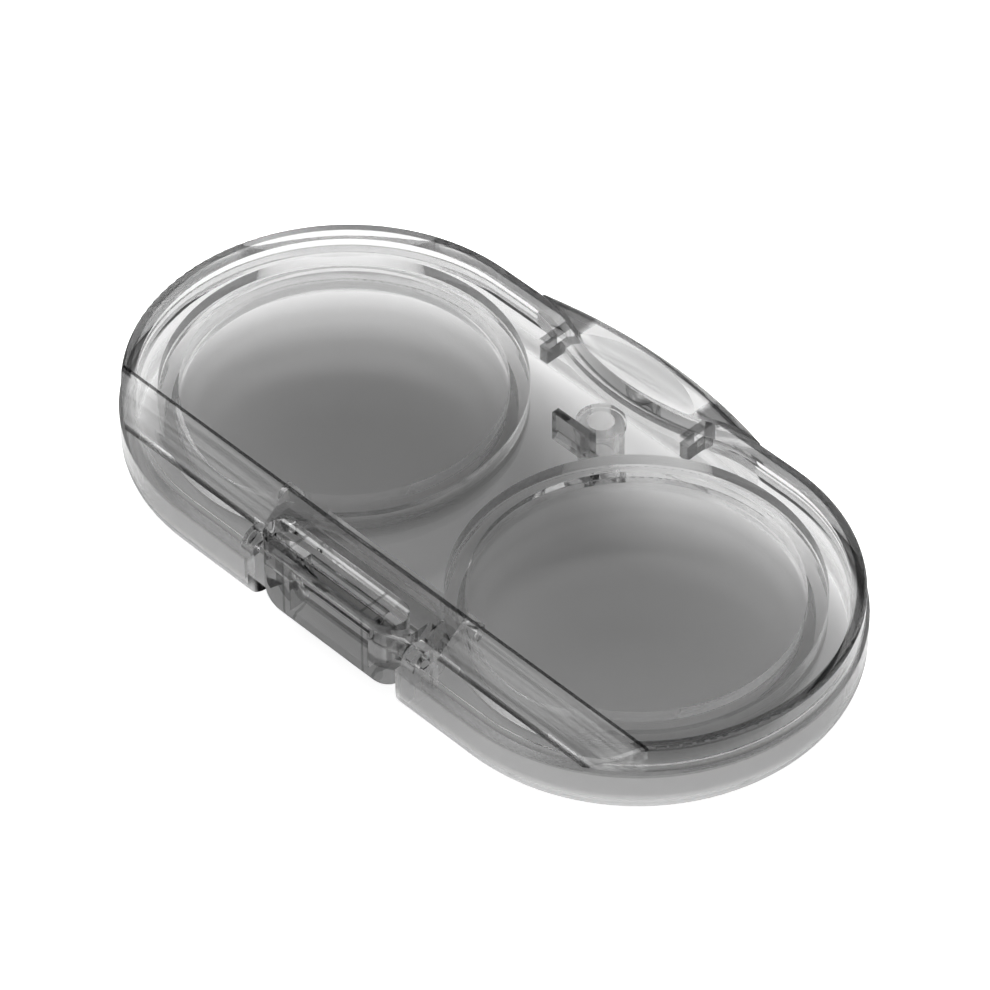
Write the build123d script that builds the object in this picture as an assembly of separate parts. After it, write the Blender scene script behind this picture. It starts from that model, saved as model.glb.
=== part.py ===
from build123d import *
import os
from math import atan2, cos, hypot, sin

# Hinged twin contact lens case, clear moulded plastic, lid closed.
# Millimetres, +Z up, hinge at the back (+Y), thumb tab at the front (-Y).
# The origin is the middle of the underside: the centre of the two-lobed outline.

os.makedirs("parts", exist_ok=True)

# ---- driving dimensions ------------------------------------------------------
well_spacing = 37.0  # between the centres of the two wells
lid_radius = 20.0  # end radius of the lid's outline
base_step = 0.3  # the base stands this far outside the lid
case_height = 8.1
base_height = 5.1
parting_gap = 0.15  # between the base's rim and the lid's rim

base_wall = 1.7
base_floor = 1.0
base_round = 2.2  # round of the base's lower edge
lid_top = 1.2  # thickness of the lid's flat top
lid_wall = 1.2
lid_edge_round = 0.3

# Wells: a cup standing on the base's floor, and a seal on the cup's flange.
cup_bore = 14.85  # radius
cup_wall = 0.8
cup_flange_radius = 16.7
cup_flange = 1.0
cup_floor_round = 2.4
cup_clearance = 0.1
seal_height = 0.8
seat_gap = 0.02  # play under the cups and the seals and round the latch boss's foot

# Rear bevel of the lid: from the crease on the top down to the lid's rim.
crease_y = 13.5
bevel_foot_y = 17.0
bevel_wall = 1.2

# Hinge: a full-height block on the lid, in a cut-out of the base, on two pins.
axis_y = 18.1
axis_z = 5.2
block_half = 8.5  # half its width
block_front = 16.6  # y of the side towards the wells
block_back = 20.05  # y of the outer side
block_foot = 0.2  # height of its underside
block_rise = 0.8  # above the lid's top
block_round = 1.7
block_end_round = 2.6
knuckle = 3.5  # solid ends of the block, which hold the pins
block_skin = 1.2
slot_gap = 0.9  # from the block's end to the side of the base's cut-out
pocket_side_gap = 0.4
pocket_swing_gap = 0.35
pocket_corner = 3.4
pocket_wall = 1.0
pin_radius = 0.7
pin_fit = 0.05
ear_width = 1.5
ear_radius = 1.5
ear_gap = 0.3
recess_depth = 1.4  # of the step in the lid's top, in front of the block
recess_floor = 1.2
recess_y = 13.6

# Rear ledge of the base, which closes the gap below the bevel's foot.
ledge_front = 15.9
ledge_drop = 0.2
ledge_thickness = 1.2

# Thumb notch in the lid's front edge, and the base's tab that fills it, flush with the top.
notch_half = 14.0
notch_depth = 2.75
notch_blend = 12.0
notch_gap = 0.3
tab_half = 14.2
tab_reach = 1.85  # beyond the base's front wall
tab_foot = 1.6
tab_shelf = 1.2  # thickness of the tab where it overhangs the inside of the base
tab_round = 0.9
scoop_half = 7.5
scoop_half_y = 3.0
scoop_depth = 2.2
scoop_y = 18.05  # its deepest line is this far in front of the middle
notch_rib_x = 8.85  # ribs of the lid at the ends of the scoop
notch_rib_back = 15.6
notch_rib = 0.9

# Latch at the waist: a boss on the base and a hook on the lid.
boss_y = 14.1
boss_radius = 2.15
boss_bore = 1.25  # radius
boss_drop = 0.2  # below the base's rim
bead = 0.15
bead_height = 0.6
hook_gap = 0.3  # between the boss's bead and the hook's barb
hook_half = 2.4
hook_thickness = 0.8
hook_reach = 3.3  # below the lid's top plate
barb = 0.4
barb_height = 0.8

# ---- worked out from them ----------------------------------------------------
well_x = well_spacing / 2
base_radius = lid_radius + base_step
lid_rim = base_height + parting_gap
plate_underside = case_height - lid_top
bevel_slope = (case_height - lid_rim) / (bevel_foot_y - crease_y)
bevel_drop = bevel_wall * hypot(1, bevel_slope)
cup_outer = cup_bore + cup_wall
cup_foot = base_floor + seat_gap
cup_top = base_height - seal_height
flange_foot = cup_top - cup_flange
recess_z = case_height - recess_depth
slot_half = block_half + slot_gap
recess_half = slot_half + ear_width + ear_gap
pocket_half = block_half + pocket_side_gap
swing_out = max(axis_y - block_front, block_back - axis_y) - block_round
swing_reach = hypot(swing_out, axis_z - block_foot - block_round) + block_round
pocket_front = axis_y - swing_reach - pocket_swing_gap
hook_y = boss_y - boss_radius - bead - hook_gap - barb
far = well_spacing + 4 * lid_radius  # larger than the case


def block_between(x0, x1, y0, y1, z0, z1):
    """Box from its six limits."""
    centre = ((x0 + x1) / 2, (y0 + y1) / 2, (z0 + z1) / 2)
    return Pos(*centre) * Box(x1 - x0, y1 - y0, z1 - z0)


def upright(radius, x, y, z0, z1):
    """Upright cylinder between two heights."""
    return Pos(x, y, (z0 + z1) / 2) * Cylinder(radius, z1 - z0)


def lengthwise(radius, x0, x1, y, z):
    """Cylinder along X between two places."""
    return Pos((x0 + x1) / 2, y, z) * Rot(0, 90, 0) * Cylinder(radius, x1 - x0)


def outline(radius):
    """Plan of the case: two round ends joined by straight sides."""
    return SlotCenterToCenter(well_spacing, 2 * radius)


def raised(sketch, z0, z1):
    """Plan sketch made solid between two heights."""
    return extrude(Pos(0, 0, z0) * sketch, z1 - z0)


def arc_between(centre, start, end):
    """Arc about a centre, the short way round."""
    radius = hypot(start[0] - centre[0], start[1] - centre[1])
    middle = ((start[0] + end[0]) / 2, (start[1] + end[1]) / 2)
    angle = atan2(middle[1] - centre[1], middle[0] - centre[0])
    through = (centre[0] + radius * cos(angle), centre[1] + radius * sin(angle))
    return ThreePointArc(start, through, end)


def notch_plan():
    """What the thumb notch takes off the lid's front edge: a hollow arc with blended ends."""
    centres_apart = (notch_half**2 + notch_depth**2) / (2 * notch_depth)
    hollow_radius = centres_apart - notch_blend
    blend_centre = (notch_half, -lid_radius + notch_blend)
    hollow_centre = (0, -lid_radius + notch_depth - hollow_radius)
    share = notch_blend / centres_apart
    meet_x = blend_centre[0] + (hollow_centre[0] - blend_centre[0]) * share
    meet_y = blend_centre[1] + (hollow_centre[1] - blend_centre[1]) * share
    edge = -lid_radius
    outside = edge - lid_radius
    line = Line((-notch_half, outside), (-notch_half, edge))
    line += arc_between((-notch_half, blend_centre[1]), (-notch_half, edge), (-meet_x, meet_y))
    line += ThreePointArc((-meet_x, meet_y), (0, edge + notch_depth), (meet_x, meet_y))
    line += arc_between(blend_centre, (meet_x, meet_y), (notch_half, edge))
    line += Line((notch_half, edge), (notch_half, outside))
    line += Line((notch_half, outside), (-notch_half, outside))
    return make_face(line)


def pocket_plan():
    """Plan of the pocket that the hinge block's foot swings through."""
    depth = slot_front() + pocket_corner - pocket_front
    plan = Pos(0, pocket_front + depth / 2) * Rectangle(2 * pocket_half, depth)
    inner_corners = plan.vertices().group_by(Axis.Y)[0]
    return fillet(inner_corners, pocket_corner)


def slot_front():
    """Where the wide part of the base's cut-out starts."""
    return axis_y - ear_radius - ear_gap


# ---- base --------------------------------------------------------------------
def base_hollow_body():
    """Outer wall and floor of the base."""
    body = raised(outline(base_radius), 0, base_height)
    lower_edge = body.faces().sort_by(Axis.Z)[0].outer_wire().edges()
    body = fillet(lower_edge, base_round)
    return body - raised(outline(base_radius - base_wall), base_floor, base_height + 1)


def thumb_tab():
    """Tab in front of the base: below the rim it widens the wall, above it fills the lid's notch."""
    tab_radius = (tab_half**2 + tab_reach**2) / (2 * tab_reach)
    front = base_radius + tab_reach
    plan = Pos(0, tab_radius - front) * Circle(tab_radius)
    band = Pos(0, -front) * Rectangle(2 * tab_half, 2 * (front - lid_radius + 2 * notch_depth))
    tab = raised(plan & band, tab_foot, case_height)
    outer_face = tab.faces().sort_by(Axis.Y)[0]
    tab = fillet(outer_face.edges().filter_by(GeomType.CIRCLE), tab_round)
    in_notch = offset(notch_plan(), -notch_gap) & (Pos(0, -lid_radius) * Rectangle(far, lid_radius))
    wall_line = base_wall / 2 - base_radius
    before_wall = block_between(-far, far, -far, wall_line, 0, base_height)
    return tab & (raised(in_notch, base_height - tab_shelf, case_height + 1) + before_wall)


def scoop():
    """Spindle-shaped cutter of the tab's thumb scoop, lying along X."""
    mid_radius = (scoop_half_y**2 + scoop_depth**2) / (2 * scoop_depth)
    axis_height = mid_radius - scoop_depth
    end = scoop_half * 1.03
    sweep_radius = (scoop_half**2 + scoop_depth**2) / (2 * scoop_depth)
    end_drop = sweep_radius - (sweep_radius**2 - end**2) ** 0.5
    end_radius = mid_radius - end_drop
    line = Line((-end, 0), (-end, -end_radius))
    line += ThreePointArc((-end, -end_radius), (0, -mid_radius), (end, -end_radius))
    line += Line((end, -end_radius), (end, 0))
    line += Line((end, 0), (-end, 0))
    spindle = revolve(Plane.XZ * make_face(line), Axis.X)
    return Pos(0, -scoop_y, case_height + axis_height) * spindle


def hinge_ears():
    """The two ears that hold the pins, one at each end of the cut-out."""
    ears = []
    for side in (-1, 1):
        inner = side * slot_half
        outer = side * (slot_half + ear_width)
        x0, x1 = sorted((inner, outer))
        ear = lengthwise(ear_radius, x0, x1, axis_y, axis_z)
        ear += block_between(x0, x1, axis_y - ear_radius, axis_y + ear_radius, base_floor, axis_z)
        ears.append(ear)
    return ears


def make_base_shell():
    body = base_hollow_body()
    inside = outline(base_radius - base_wall / 2)
    # walls of the pocket and the rear ledge
    body += raised(offset(pocket_plan(), pocket_wall) & inside, base_floor / 2, base_height)
    ledge_top = base_height - ledge_drop
    ledge_band = Pos(0, ledge_front + lid_radius) * Rectangle(far, 2 * lid_radius)
    body += raised(ledge_band & inside, ledge_top - ledge_thickness, ledge_top)
    body += thumb_tab()
    for ear in hinge_ears():
        body += ear
    # room for the cups, the hinge block and the thumb
    for x in (-well_x, well_x):
        body -= upright(cup_outer + cup_clearance, x, 0, base_floor, base_height + 1)
        flange_room = cup_flange_radius + cup_clearance
        body -= upright(flange_room, x, 0, flange_foot - cup_clearance, base_height + 1)
    body -= raised(pocket_plan(), -1, case_height)
    body -= block_between(-slot_half, slot_half, slot_front(), far, -1, case_height)
    body -= scoop()
    ear_outer = slot_half + ear_width
    body -= lengthwise(pin_radius, -ear_outer, ear_outer, axis_y, axis_z)
    # the latch boss sits in a shallow seat in the floor
    return body - upright(boss_radius + seat_gap, 0, -boss_y, base_floor / 2, base_height + 1)


def make_lens_cup(x):
    """Round cup with a rounded floor and a flange that carries the seal."""
    cup = upright(cup_outer, x, 0, cup_foot, cup_top)
    cup += upright(cup_flange_radius, x, 0, flange_foot, cup_top)
    bowl = upright(cup_bore, x, 0, cup_foot + cup_wall, cup_top + cup_bore)
    bowl = fillet(bowl.edges().group_by(Axis.Z)[0], cup_floor_round)
    return cup - bowl


def make_seal_ring(x):
    """Flat silicone ring on the cup's flange."""
    ring = upright(cup_flange_radius, x, 0, cup_top + seat_gap, base_height)
    ring -= upright(cup_bore, x, 0, cup_top - 1, base_height + 1)
    return fillet(ring.edges().group_by(Axis.Z)[-1], seal_height / 4)


def make_hinge_pin(side):
    """Pin from the ear's outer side to the inner end of the block's knuckle."""
    x0, x1 = sorted((side * (block_half - knuckle), side * (slot_half + ear_width)))
    pin = lengthwise(pin_radius, x0, x1, axis_y, axis_z)
    return chamfer(pin.edges().filter_by(GeomType.CIRCLE), pin_radius / 5)


def make_latch_boss():
    """Hollow round boss with a bead near its top, which the hook catches."""
    top = base_height - boss_drop
    boss = upright(boss_radius, 0, -boss_y, base_floor / 2 + seat_gap, top)
    boss += upright(boss_radius + bead, 0, -boss_y, top - bead_height, top)
    return boss - upright(boss_bore, 0, -boss_y, base_floor, top + 1)


# ---- lid ---------------------------------------------------------------------
def lid_plan():
    return outline(lid_radius) - notch_plan()


def above_bevel(drop):
    """Everything behind the bevel's plane, or behind one lowered by this drop."""
    foot_y = far
    foot_z = case_height - drop - bevel_slope * (foot_y - crease_y)
    top_y = crease_y - 2 * case_height
    top_z = case_height - drop + bevel_slope * 2 * case_height
    profile = Polyline((top_y, top_z), (foot_y, foot_z), (foot_y, top_z), close=True)
    return extrude(Plane.YZ * make_face(profile), far / 2, both=True)


def lid_envelope():
    """Outer shape of the lid without its hinge block."""
    body = raised(lid_plan(), lid_rim, case_height)
    top_edges = body.faces().sort_by(Axis.Z)[-1].outer_wire().edges()
    body = fillet(top_edges, lid_edge_round)
    return body - above_bevel(0)


def hinge_block():
    """Full-height block with rounded foot and back, bored for the pins and cored out between them."""
    width = 2 * block_half
    height = case_height + block_rise - block_foot
    profile = Pos(0, block_foot + height / 2) * Rectangle(width, height)
    profile = fillet(profile.vertices().group_by(Axis.Y)[0], block_end_round)
    block = extrude(Pos(0, block_back, 0) * (Plane.XZ * profile), block_back - block_front)
    for which in (0, -1):
        edges = block.faces().sort_by(Axis.Y)[which].outer_wire().edges()
        top_edge = edges.sort_by(Axis.Z)[-1]
        block = fillet([edge for edge in edges if edge != top_edge], block_round)
    return block


def block_core():
    """Hollow between the two knuckles, open towards the wells under the recess floor."""
    half = block_half - knuckle
    foot = block_foot + block_skin
    ceiling = recess_z - recess_floor
    return block_between(-half, half, block_front, block_back - block_skin, foot, ceiling)


def make_lid_shell():
    envelope = lid_envelope()
    inner_plan = offset(lid_plan(), -lid_wall)
    inside = raised(inner_plan, lid_rim - 1, plate_underside) - above_bevel(bevel_drop)
    body = envelope - inside
    # over each well: the ring that presses on the seal
    for x in (-well_x, well_x):
        ring = upright(cup_flange_radius, x, 0, lid_rim, plate_underside + lid_top / 2)
        ring -= upright(cup_bore, x, 0, lid_rim - 1, case_height)
        body += ring & envelope
    # step in the top in front of the hinge block, with its floor and its side walls
    floor_half = recess_half + recess_floor
    front = recess_y - recess_floor
    slab = block_between(-floor_half, floor_half, front, far, recess_z - recess_floor, case_height)
    body += slab & envelope
    body -= block_between(-recess_half, recess_half, recess_y, far, recess_z, case_height + 1)
    body -= block_between(-recess_half, recess_half, slot_front(), far, 0, case_height + 1)
    body += block_between(-block_half, block_half, recess_y, block_front + block_round, lid_rim, recess_z)
    body += hinge_block()
    body -= block_core()
    # ribs behind the notch's wall
    for x in (-notch_rib_x, notch_rib_x):
        half = notch_rib / 2
        rib_front = lid_radius - notch_depth / 2 - lid_wall / 2
        body += block_between(x - half, x + half, -rib_front, -notch_rib_back, lid_rim, plate_underside)
    return body - lengthwise(pin_radius + pin_fit, -recess_half, recess_half, axis_y, axis_z)


def make_latch_hook():
    """Flat hook that hangs from the lid's top plate, with a barb towards the boss."""
    top = plate_underside
    foot = top - hook_reach
    hook = block_between(-hook_half, hook_half, -hook_y, hook_thickness - hook_y, foot, top)
    nose = (-hook_y - barb, foot + barb_height / 2)
    wedge = Polyline((-hook_y, foot), nose, (-hook_y, foot + barb_height), close=True)
    return hook + extrude(Plane.YZ * make_face(wedge), hook_half, both=True)


def write(name, shape):
    """One STEP file for each piece, named after it."""
    shape.label = name
    export_step(shape, f"parts/{name}.step")


write("base_shell", make_base_shell())
write("latch_boss", make_latch_boss())
write("lid_shell", make_lid_shell())
write("latch_hook", make_latch_hook())
for hand, direction in (("left", -1), ("right", 1)):
    write(f"lens_cup_{hand}", make_lens_cup(direction * well_x))
    write(f"seal_ring_{hand}", make_seal_ring(direction * well_x))
    write(f"hinge_pin_{hand}", make_hinge_pin(direction))
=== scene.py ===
# Contact lens case: clear grey plastics, light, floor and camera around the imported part.
import bpy
import math
from collections import namedtuple
from mathutils import Matrix, Vector


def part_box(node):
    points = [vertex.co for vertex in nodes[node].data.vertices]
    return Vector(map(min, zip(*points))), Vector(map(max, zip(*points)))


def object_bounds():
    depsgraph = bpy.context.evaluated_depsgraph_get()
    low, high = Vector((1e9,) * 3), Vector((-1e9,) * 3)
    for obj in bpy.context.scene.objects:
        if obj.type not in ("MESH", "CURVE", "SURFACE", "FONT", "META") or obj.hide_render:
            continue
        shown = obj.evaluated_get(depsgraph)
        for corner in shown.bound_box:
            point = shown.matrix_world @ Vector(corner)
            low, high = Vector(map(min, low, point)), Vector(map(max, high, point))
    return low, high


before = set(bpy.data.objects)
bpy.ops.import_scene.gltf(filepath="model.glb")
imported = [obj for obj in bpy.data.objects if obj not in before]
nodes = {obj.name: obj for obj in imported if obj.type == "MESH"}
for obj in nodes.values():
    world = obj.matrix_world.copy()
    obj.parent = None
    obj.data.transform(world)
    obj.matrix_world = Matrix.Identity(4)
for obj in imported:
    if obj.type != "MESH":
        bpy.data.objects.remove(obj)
cad_low, cad_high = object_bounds()


# --- sizes, in metres -------------------------------------------------------------------
MM = 0.001

# from the frame
cup_low, cup_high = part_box("lens_cup_right")
well_x = (cup_low[0] + cup_high[0]) / 2
lid_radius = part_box("lid_shell")[1][0] - well_x
base_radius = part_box("base_shell")[1][0] - well_x
pin_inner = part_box("hinge_pin_right")[0][0]

# as in the part's source, as no box gives them
case_height = 8.1 * MM
base_height = 5.1 * MM
cup_bore = 14.85 * MM
crease_y = 13.5 * MM
bevel_foot_y = 17.0 * MM
block_front = 16.6 * MM
block_half = 8.5 * MM
recess_half = 11.2 * MM
notch_rib_x = 8.85 * MM

# arcs in plan of the lid's notch and of the thumb tab's outer edge
notch_radius = 25.01 * MM
notch_centre_y = -42.26 * MM
tab_radius = 55.42 * MM
tab_centre_y = cad_low.y + tab_radius

# widths over which a mask fades
crisp = 0.05 * MM
soft = 0.1 * MM


# --- camera: angles, distance and lens were fitted to the photo's outline and wells -----
azimuth = math.radians(226.2224)
elevation = math.radians(44.766)
roll = math.radians(-0.5438)
distance = 0.56626
back = Vector((math.sin(azimuth) * math.cos(elevation),
               -math.cos(azimuth) * math.cos(elevation),
               math.sin(elevation)))
right = Vector((math.cos(azimuth), math.sin(azimuth), 0))
up = back.cross(right)
right_rolled = right * math.cos(roll) + up * math.sin(roll)
up_rolled = -right * math.sin(roll) + up * math.cos(roll)
camera_data = bpy.data.cameras.new("camera")
camera = bpy.data.objects.new("camera", camera_data)
bpy.context.scene.collection.objects.link(camera)
camera.matrix_world = Matrix.Translation(back * distance) @ Matrix(
    (right_rolled, up_rolled, back)).transposed().to_4x4()
camera_data.sensor_width = 36
camera_data.lens = 231.437
camera_data.shift_x = 0.006737
camera_data.shift_y = 0.045717
camera_data.clip_start = 0.01
camera_data.clip_end = 20
bpy.context.scene.camera = camera


# --- shader nodes -----------------------------------------------------------------------
def new_material(name):
    """A material with a Principled shader on its output and nothing else."""
    material = bpy.data.materials.new(name)
    material.use_nodes = True
    tree = material.node_tree
    tree.nodes.clear()
    output = tree.nodes.new("ShaderNodeOutputMaterial")
    shader = tree.nodes.new("ShaderNodeBsdfPrincipled")
    tree.links.new(shader.outputs["BSDF"], output.inputs["Surface"])
    return material, tree, shader, output


def connect(tree, value, socket):
    """A link where the value is another node's output, a constant where it is a number."""
    if isinstance(value, bpy.types.NodeSocket):
        tree.links.new(value, socket)
    else:
        socket.default_value = value


def math_node(tree, operation, *values):
    """What this operation makes of one, two or three values."""
    node = tree.nodes.new("ShaderNodeMath")
    node.operation = operation
    for value, socket in zip(values, node.inputs):
        connect(tree, value, socket)
    return node.outputs[0]


def product(tree, first, *others):
    """All of these multiplied together."""
    result = first
    for factor in others:
        result = math_node(tree, "MULTIPLY", result, factor)
    return result


def ramp(tree, value, start, end, low=0.0, high=1.0):
    """Smooth step from one level to another."""
    node = tree.nodes.new("ShaderNodeMapRange")
    node.interpolation_type = "SMOOTHSTEP"
    connect(tree, value, node.inputs["Value"])
    node.inputs["From Min"].default_value = start
    node.inputs["From Max"].default_value = end
    node.inputs["To Min"].default_value = low
    node.inputs["To Max"].default_value = high
    return node.outputs["Result"]


def stripe(tree, value, centre, half, fade):
    """1 within this half width of the centre, 0 outside its soft edge."""
    away = math_node(tree, "ABSOLUTE", math_node(tree, "SUBTRACT", value, centre))
    return ramp(tree, away, half, half + fade, 1.0, 0.0)


def noise(tree, vector, scale, detail):
    node = tree.nodes.new("ShaderNodeTexNoise")
    node.inputs["Scale"].default_value = scale
    node.inputs["Detail"].default_value = detail
    tree.links.new(vector, node.inputs["Vector"])
    return node.outputs["Fac"]


def darker(tree, shade, strength, *masks):
    """The shade, less this share of itself where all the masks are 1."""
    cover = product(tree, strength, *masks)
    return product(tree, shade, math_node(tree, "SUBTRACT", 1.0, cover))


# --- masks: a place is where a point of its piece lies with the lid shut, at any pose ----
Place = namedtuple("Place", "vector x y z")


def part_place(tree):
    coords = tree.nodes.new("ShaderNodeTexCoord")
    parts = tree.nodes.new("ShaderNodeSeparateXYZ")
    tree.links.new(coords.outputs["Object"], parts.inputs[0])
    return Place(coords.outputs["Object"], *parts.outputs)


def plan_distance(tree, x, y):
    squares = math_node(tree, "ADD", product(tree, x, x), product(tree, y, y))
    return math_node(tree, "SQRT", squares)


def beside_wells(tree, place):
    """How far along X this is beyond the middle of the nearer well, below 0 between the two."""
    return math_node(tree, "SUBTRACT", math_node(tree, "ABSOLUTE", place.x), well_x)


def spine_distance(tree, place):
    """Distance in plan from the line between the middles of the two wells."""
    return plan_distance(tree, math_node(tree, "MAXIMUM", beside_wells(tree, place), 0.0), place.y)


def arc_distance(tree, place, centre_y):
    """Distance in plan from a point on the case's middle line."""
    return plan_distance(tree, place.x, math_node(tree, "SUBTRACT", place.y, centre_y))


def moulding_streaks(tree, place):
    """Fine flow lines in the plastic, along X."""
    stretch = tree.nodes.new("ShaderNodeVectorMath")
    stretch.operation = "MULTIPLY"
    stretch.inputs[1].default_value = (40, 3000, 3000)
    tree.links.new(place.vector, stretch.inputs[0])
    return ramp(tree, noise(tree, stretch.outputs[0], 1, 3), 0.4, 0.65)


def bevel_mask(tree, place):
    """1 on the lid's rear bevel, on both sides of the step in front of the hinge block."""
    middle = (crease_y + bevel_foot_y) / 2
    beside = ramp(tree, math_node(tree, "ABSOLUTE", place.x), recess_half, recess_half + crisp)
    return product(tree, beside, stripe(tree, place.y, middle, middle - crease_y, crisp))


def step_mask(tree, place):
    """1 on the step in front of the hinge block."""
    middle = (crease_y + block_front) / 2
    step = stripe(tree, place.y, middle, middle - crease_y - soft, crisp)
    inside = ramp(tree, math_node(tree, "ABSOLUTE", place.x), recess_half, recess_half - crisp)
    return product(tree, step, inside)


def notch_mask(tree, place):
    """1 on the hollow wall of the lid's thumb notch, fading out towards its ends."""
    wall = stripe(tree, arc_distance(tree, place, notch_centre_y), notch_radius, soft, soft)
    near = ramp(tree, math_node(tree, "ABSOLUTE", place.x), 9.0 * MM, 6.5 * MM)
    return product(tree, wall, near)


def tab_mask(tree, place):
    """1 on the part of the thumb tab that stands above the base's rim."""
    front = ramp(tree, place.y, -17.0 * MM, -17.2 * MM)
    return product(tree, front, ramp(tree, place.z, base_height, base_height + 0.5 * MM))


def tab_lip(tree, place):
    """1 along the outer edge of the thumb tab."""
    reach = arc_distance(tree, place, tab_centre_y)
    return ramp(tree, reach, tab_radius - 1.2 * MM, tab_radius - 0.9 * MM)


# --- tints (base colour) with painted shade, and milk (share of light that is scattered) with painted light ---
plain_tint = 0.98


def lid_tint_and_painted_shade(tree, place):
    """The lid: painted shade along its edge, crease, bevel foot, step, notch and ribs, dark seams at
    the hinge block, and darker flow streaks on the bevel.
    """
    x, y, z = place.x, place.y, place.z
    side = math_node(tree, "ABSOLUTE", x)
    reach = spine_distance(tree, place)
    top = ramp(tree, z, case_height - 0.4 * MM, case_height - 0.25 * MM)
    rim = ramp(tree, reach, lid_radius - 1.0 * MM, lid_radius - 0.85 * MM)
    front = ramp(tree, y, -6.0 * MM, -14.0 * MM)
    rear = ramp(tree, y, -2.0 * MM, 6.0 * MM)
    outside = ramp(tree, reach, lid_radius - soft, lid_radius - crisp)
    crease = stripe(tree, y, crease_y, soft, 0.07 * MM)
    foot = stripe(tree, y, bevel_foot_y - 0.15 * MM, 0.14 * MM, soft)
    behind = ramp(tree, y, block_front, block_front + 0.5 * MM)
    seam = stripe(tree, side, pin_inner, soft, 0.08 * MM)
    rib = stripe(tree, side, notch_rib_x, 0.5 * MM, crisp)
    rib_front = ramp(tree, y, -15.4 * MM, -15.7 * MM)
    # painted shade on the rim's top (more at the front), the rear outer edge, crease, bevel foot,
    # step, notch and ribs
    shade = darker(tree, plain_tint, 0.8, rim, top)
    shade = darker(tree, shade, 0.7, rim, top, front)
    shade = darker(tree, shade, 0.35, outside, rear)
    shade = darker(tree, shade, 0.94, crease, top)
    shade = darker(tree, shade, 0.75, foot)
    shade = darker(tree, shade, 0.15, bevel_mask(tree, place), moulding_streaks(tree, place))
    shade = darker(tree, shade, 0.4, step_mask(tree, place))
    shade = darker(tree, shade, 0.85, notch_mask(tree, place))
    shade = darker(tree, shade, 0.6, seam, behind)
    return darker(tree, shade, 0.8, rib, rib_front)


def lid_streaks_and_painted_light(tree, place):
    """The lid: milky streaks on the bevel, and painted light as a pale edge on the hinge block."""
    streaks = ramp(tree, moulding_streaks(tree, place), 0.0, 1.0, 0.1, 0.03)
    bevel = product(tree, bevel_mask(tree, place), streaks)
    # painted light: a pale strip along the top of the hinge block's front edge
    block = stripe(tree, place.x, 0.0, block_half - 0.6 * MM, 0.2 * MM)
    raised = ramp(tree, place.z, case_height + 0.4 * MM, case_height + 0.6 * MM, 0.0, 0.25)
    edge = stripe(tree, place.y, block_front + 0.45 * MM, 0.25 * MM, soft)
    return math_node(tree, "MAXIMUM", bevel, product(tree, block, raised, edge))


def base_tint_and_painted_shade(tree, place):
    """The base: its outer wall a little darker, with painted shade at the rim, the foot, and the thumb
    tab's ends and lip.
    """
    wall = ramp(tree, spine_distance(tree, place), base_radius - 1.4 * MM, base_radius - 1.0 * MM)
    rim = stripe(tree, place.z, base_height, 0.25 * MM, soft)
    foot = stripe(tree, place.z, 0.0, 0.2 * MM, 0.3 * MM)
    tab = tab_mask(tree, place)
    ends = ramp(tree, math_node(tree, "ABSOLUTE", place.x), 7.2 * MM, 7.8 * MM)
    # painted shade at the wall's rim and foot and on the tab's ends and lip
    shade = darker(tree, plain_tint, 0.4, rim, wall)
    shade = darker(tree, shade, 0.12, wall)
    shade = darker(tree, shade, 0.45, foot, wall)
    shade = darker(tree, shade, 0.8, tab, ends)
    return darker(tree, shade, 0.65, tab, tab_lip(tree, place))


def base_painted_light(tree, place):
    """The base: painted light on its outer wall, most near the foot, and on the tab's scoop."""
    # painted light: milk that brightens the outer wall and the tab's scoop
    wall = ramp(tree, spine_distance(tree, place), base_radius - 1.2 * MM, base_radius - 0.3 * MM)
    low = ramp(tree, place.z, 0.6 * MM, 3.0 * MM, 0.65, 0.08)
    middle = ramp(tree, math_node(tree, "ABSOLUTE", place.x), 7.4 * MM, 7.0 * MM, 0.0, 0.4)
    inner = math_node(tree, "SUBTRACT", 1.0, tab_lip(tree, place))
    scoop = product(tree, tab_mask(tree, place), middle, inner)
    return math_node(tree, "MAXIMUM", product(tree, wall, low), scoop)


def cup_tint_and_painted_shade(tree, place):
    """The cups: painted shade, their floors darker than their walls."""
    reach = plan_distance(tree, beside_wells(tree, place), place.y)
    # painted shade on the cup floors
    return darker(tree, plain_tint, 0.11, ramp(tree, reach, cup_bore, cup_bore - 2.0 * MM))


# --- plastics ---------------------------------------------------------------------------
grain = 900  # noise scale of the finish
wave_grain = 120  # noise scale of the surface's faint waves
wave_height = 0.4 * MM


def lamp_light(tree, flat, upright):
    """What a surface lets through for lamps: one share where it lies flat, another where it stands."""
    geometry = tree.nodes.new("ShaderNodeNewGeometry")
    parts = tree.nodes.new("ShaderNodeSeparateXYZ")
    tree.links.new(geometry.outputs["Normal"], parts.inputs[0])
    lying = math_node(tree, "ABSOLUTE", parts.outputs["Z"])
    see_through = tree.nodes.new("ShaderNodeBsdfTransparent")
    tree.links.new(ramp(tree, lying, 0.2, 0.6, upright, flat), see_through.inputs["Color"])
    return see_through.outputs["BSDF"]


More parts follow.
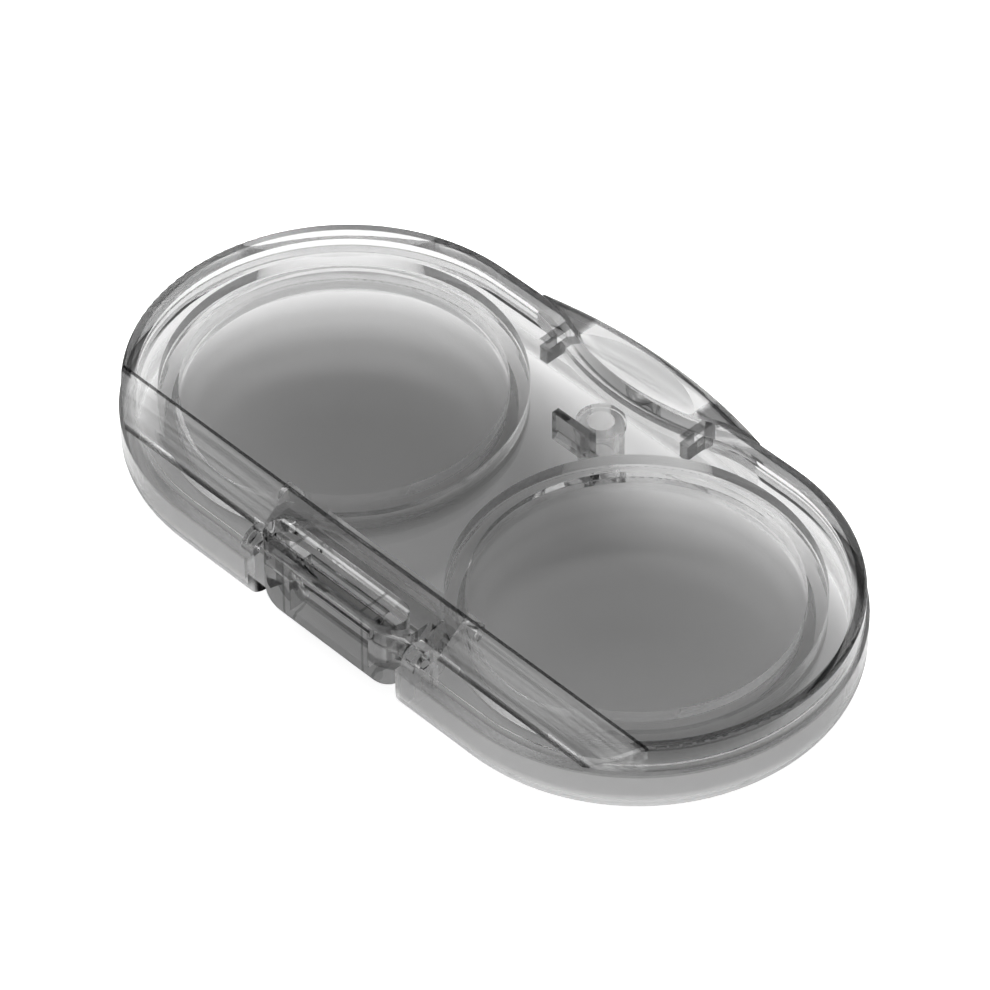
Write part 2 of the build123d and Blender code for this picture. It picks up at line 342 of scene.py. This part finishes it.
def clear_plastic(name, density, rough, wave=0.0, ior=1.2,
                  flat=0.95, upright=0.95, tint=plain_tint, milk=None):
    """Absorbing plastic that lets lamps through, which keeps the shadows below it soft."""
    material, tree, shader, output = new_material(name)
    place = part_place(tree)

    # shadow rays and light from other surfaces go through this
    path = tree.nodes.new("ShaderNodeLightPath")
    lamps = math_node(tree, "MAXIMUM", path.outputs["Is Shadow Ray"], path.outputs["Is Diffuse Ray"])
    mix = tree.nodes.new("ShaderNodeMixShader")
    tree.links.new(lamps, mix.inputs[0])
    tree.links.new(shader.outputs["BSDF"], mix.inputs[1])
    tree.links.new(lamp_light(tree, flat, upright), mix.inputs[2])
    tree.links.new(mix.outputs[0], output.inputs["Surface"])

    # all other rays meet this
    shader.inputs["IOR"].default_value = ior
    shader.inputs["Transmission Weight"].default_value = 1
    # the lid, base and cup tints carry painted shade, and the lid and base milk carry painted light
    if milk:
        clear = math_node(tree, "SUBTRACT", 1.0, milk(tree, place))
        tree.links.new(clear, shader.inputs["Transmission Weight"])
    if callable(tint):
        tree.links.new(tint(tree, place), shader.inputs["Base Color"])
    else:
        shader.inputs["Base Color"].default_value = (tint, tint, tint, 1)
    finish = ramp(tree, noise(tree, place.vector, grain, 3), 0.35, 0.7, *rough)
    tree.links.new(finish, shader.inputs["Roughness"])
    if wave:
        bump = tree.nodes.new("ShaderNodeBump")
        bump.inputs["Strength"].default_value = wave
        bump.inputs["Distance"].default_value = wave_height
        tree.links.new(noise(tree, place.vector, wave_grain, 2), bump.inputs["Height"])
        tree.links.new(bump.outputs["Normal"], shader.inputs["Normal"])

    volume = tree.nodes.new("ShaderNodeVolumeAbsorption")
    volume.inputs["Color"].default_value = (0.5, 0.5, 0.5, 1)
    volume.inputs["Density"].default_value = density
    tree.links.new(volume.outputs["Volume"], output.inputs["Volume"])
    return material


polished = (0.01, 0.03)
smooth = (0.02, 0.05)
ripple = 0.05
looks = {
    "base_shell": clear_plastic("base_plastic", 80, polished, ripple, tint=base_tint_and_painted_shade, milk=base_painted_light),
    "lid_shell": clear_plastic("lid_plastic", 55, polished, ripple, flat=0.34,
                               tint=lid_tint_and_painted_shade, milk=lid_streaks_and_painted_light),
    "latch_hook": clear_plastic("hook_plastic", 300, smooth, ripple, tint=0.6),
    "latch_boss": clear_plastic("boss_plastic", 100, smooth, ripple, tint=0.85),
    "lens_cup_left": clear_plastic("cup_plastic", 180, smooth, ripple, ior=1.03, tint=cup_tint_and_painted_shade),
    "seal_ring_left": clear_plastic("seal_silicone", 100, (0.1, 0.2), ior=1.08),
    "hinge_pin_left": clear_plastic("pin_plastic", 300, (0.05, 0.1), tint=0.85),
}
for pair in ("lens_cup", "seal_ring", "hinge_pin"):
    looks[pair + "_right"] = looks[pair + "_left"]
for name, node in nodes.items():
    node.data.materials.clear()
    node.data.materials.append(looks[name])
    if name.startswith(("lens_cup", "seal_ring", "hinge_pin", "latch")):
        node.visible_shadow = False
        node.visible_diffuse = False

# the hook's surface is drawn this far in, so that its top doesn't coincide with the lid's plate
play = nodes["latch_hook"].modifiers.new("play", "DISPLACE")
play.strength = -0.02 * MM
play.mid_level = 0


# --- floor ------------------------------------------------------------------------------
floor_half = 3.0
floor_gap = 0.2 * MM
corners = [(-floor_half, -floor_half, 0), (floor_half, -floor_half, 0),
           (floor_half, floor_half, 0), (-floor_half, floor_half, 0)]
floor_mesh = bpy.data.meshes.new("floor")
floor_mesh.from_pydata(corners, [], [(0, 1, 2, 3)])
floor = bpy.data.objects.new("floor", floor_mesh)
bpy.context.scene.collection.objects.link(floor)
floor.location.z = cad_low.z - floor_gap
floor_material, tree, shader, output = new_material("floor")
shader.inputs["Base Color"].default_value = (0.85, 0.85, 0.85, 1)
shader.inputs["Roughness"].default_value = 0.9
path = tree.nodes.new("ShaderNodeLightPath")
through_plastic = product(tree, path.outputs["Is Transmission Ray"], 0.08)
glow = math_node(tree, "MULTIPLY_ADD", path.outputs["Is Camera Ray"], 0.7, through_plastic)
shader.inputs["Emission Color"].default_value = (1, 1, 1, 1)
tree.links.new(glow, shader.inputs["Emission Strength"])
floor.data.materials.append(floor_material)


# --- world: white for the camera, and for the object bright low down and dim overhead ---
world = bpy.data.worlds.new("world")
bpy.context.scene.world = world
world.use_nodes = True
tree = world.node_tree
tree.nodes.clear()
output = tree.nodes.new("ShaderNodeOutputWorld")
background = tree.nodes.new("ShaderNodeBackground")
background.inputs["Color"].default_value = (1, 1, 1, 1)
coords = tree.nodes.new("ShaderNodeTexCoord")
parts = tree.nodes.new("ShaderNodeSeparateXYZ")
tree.links.new(coords.outputs["Generated"], parts.inputs[0])
sky = ramp(tree, parts.outputs["Z"], 0.2, 0.65, 1.0, 0.12)
path = tree.nodes.new("ShaderNodeLightPath")
strength = math_node(tree, "MAXIMUM", sky, path.outputs["Is Camera Ray"])
tree.links.new(strength, background.inputs["Strength"])
tree.links.new(background.outputs["Background"], output.inputs["Surface"])


# --- lamps ------------------------------------------------------------------------------
def area_light(name, place, size, power):
    """A soft rectangular lamp that faces the object and isn't seen in it."""
    data = bpy.data.lights.new(name, "AREA")
    data.shape = "RECTANGLE"
    data.size, data.size_y = size
    data.energy = power
    light = bpy.data.objects.new(name, data)
    bpy.context.scene.collection.objects.link(light)
    light.location = place
    light.rotation_mode = "QUATERNION"
    light.rotation_quaternion = (-Vector(place)).to_track_quat("-Z", "Y")
    light.visible_glossy = False
    light.visible_transmission = False


area_light("key", (0.48, -0.46, 0.65), (0.5, 0.5), 14)
area_light("fill", (-0.58, 0.54, 0.14), (0.5, 0.25), 6)

bpy.context.scene.view_settings.view_transform = "Standard"
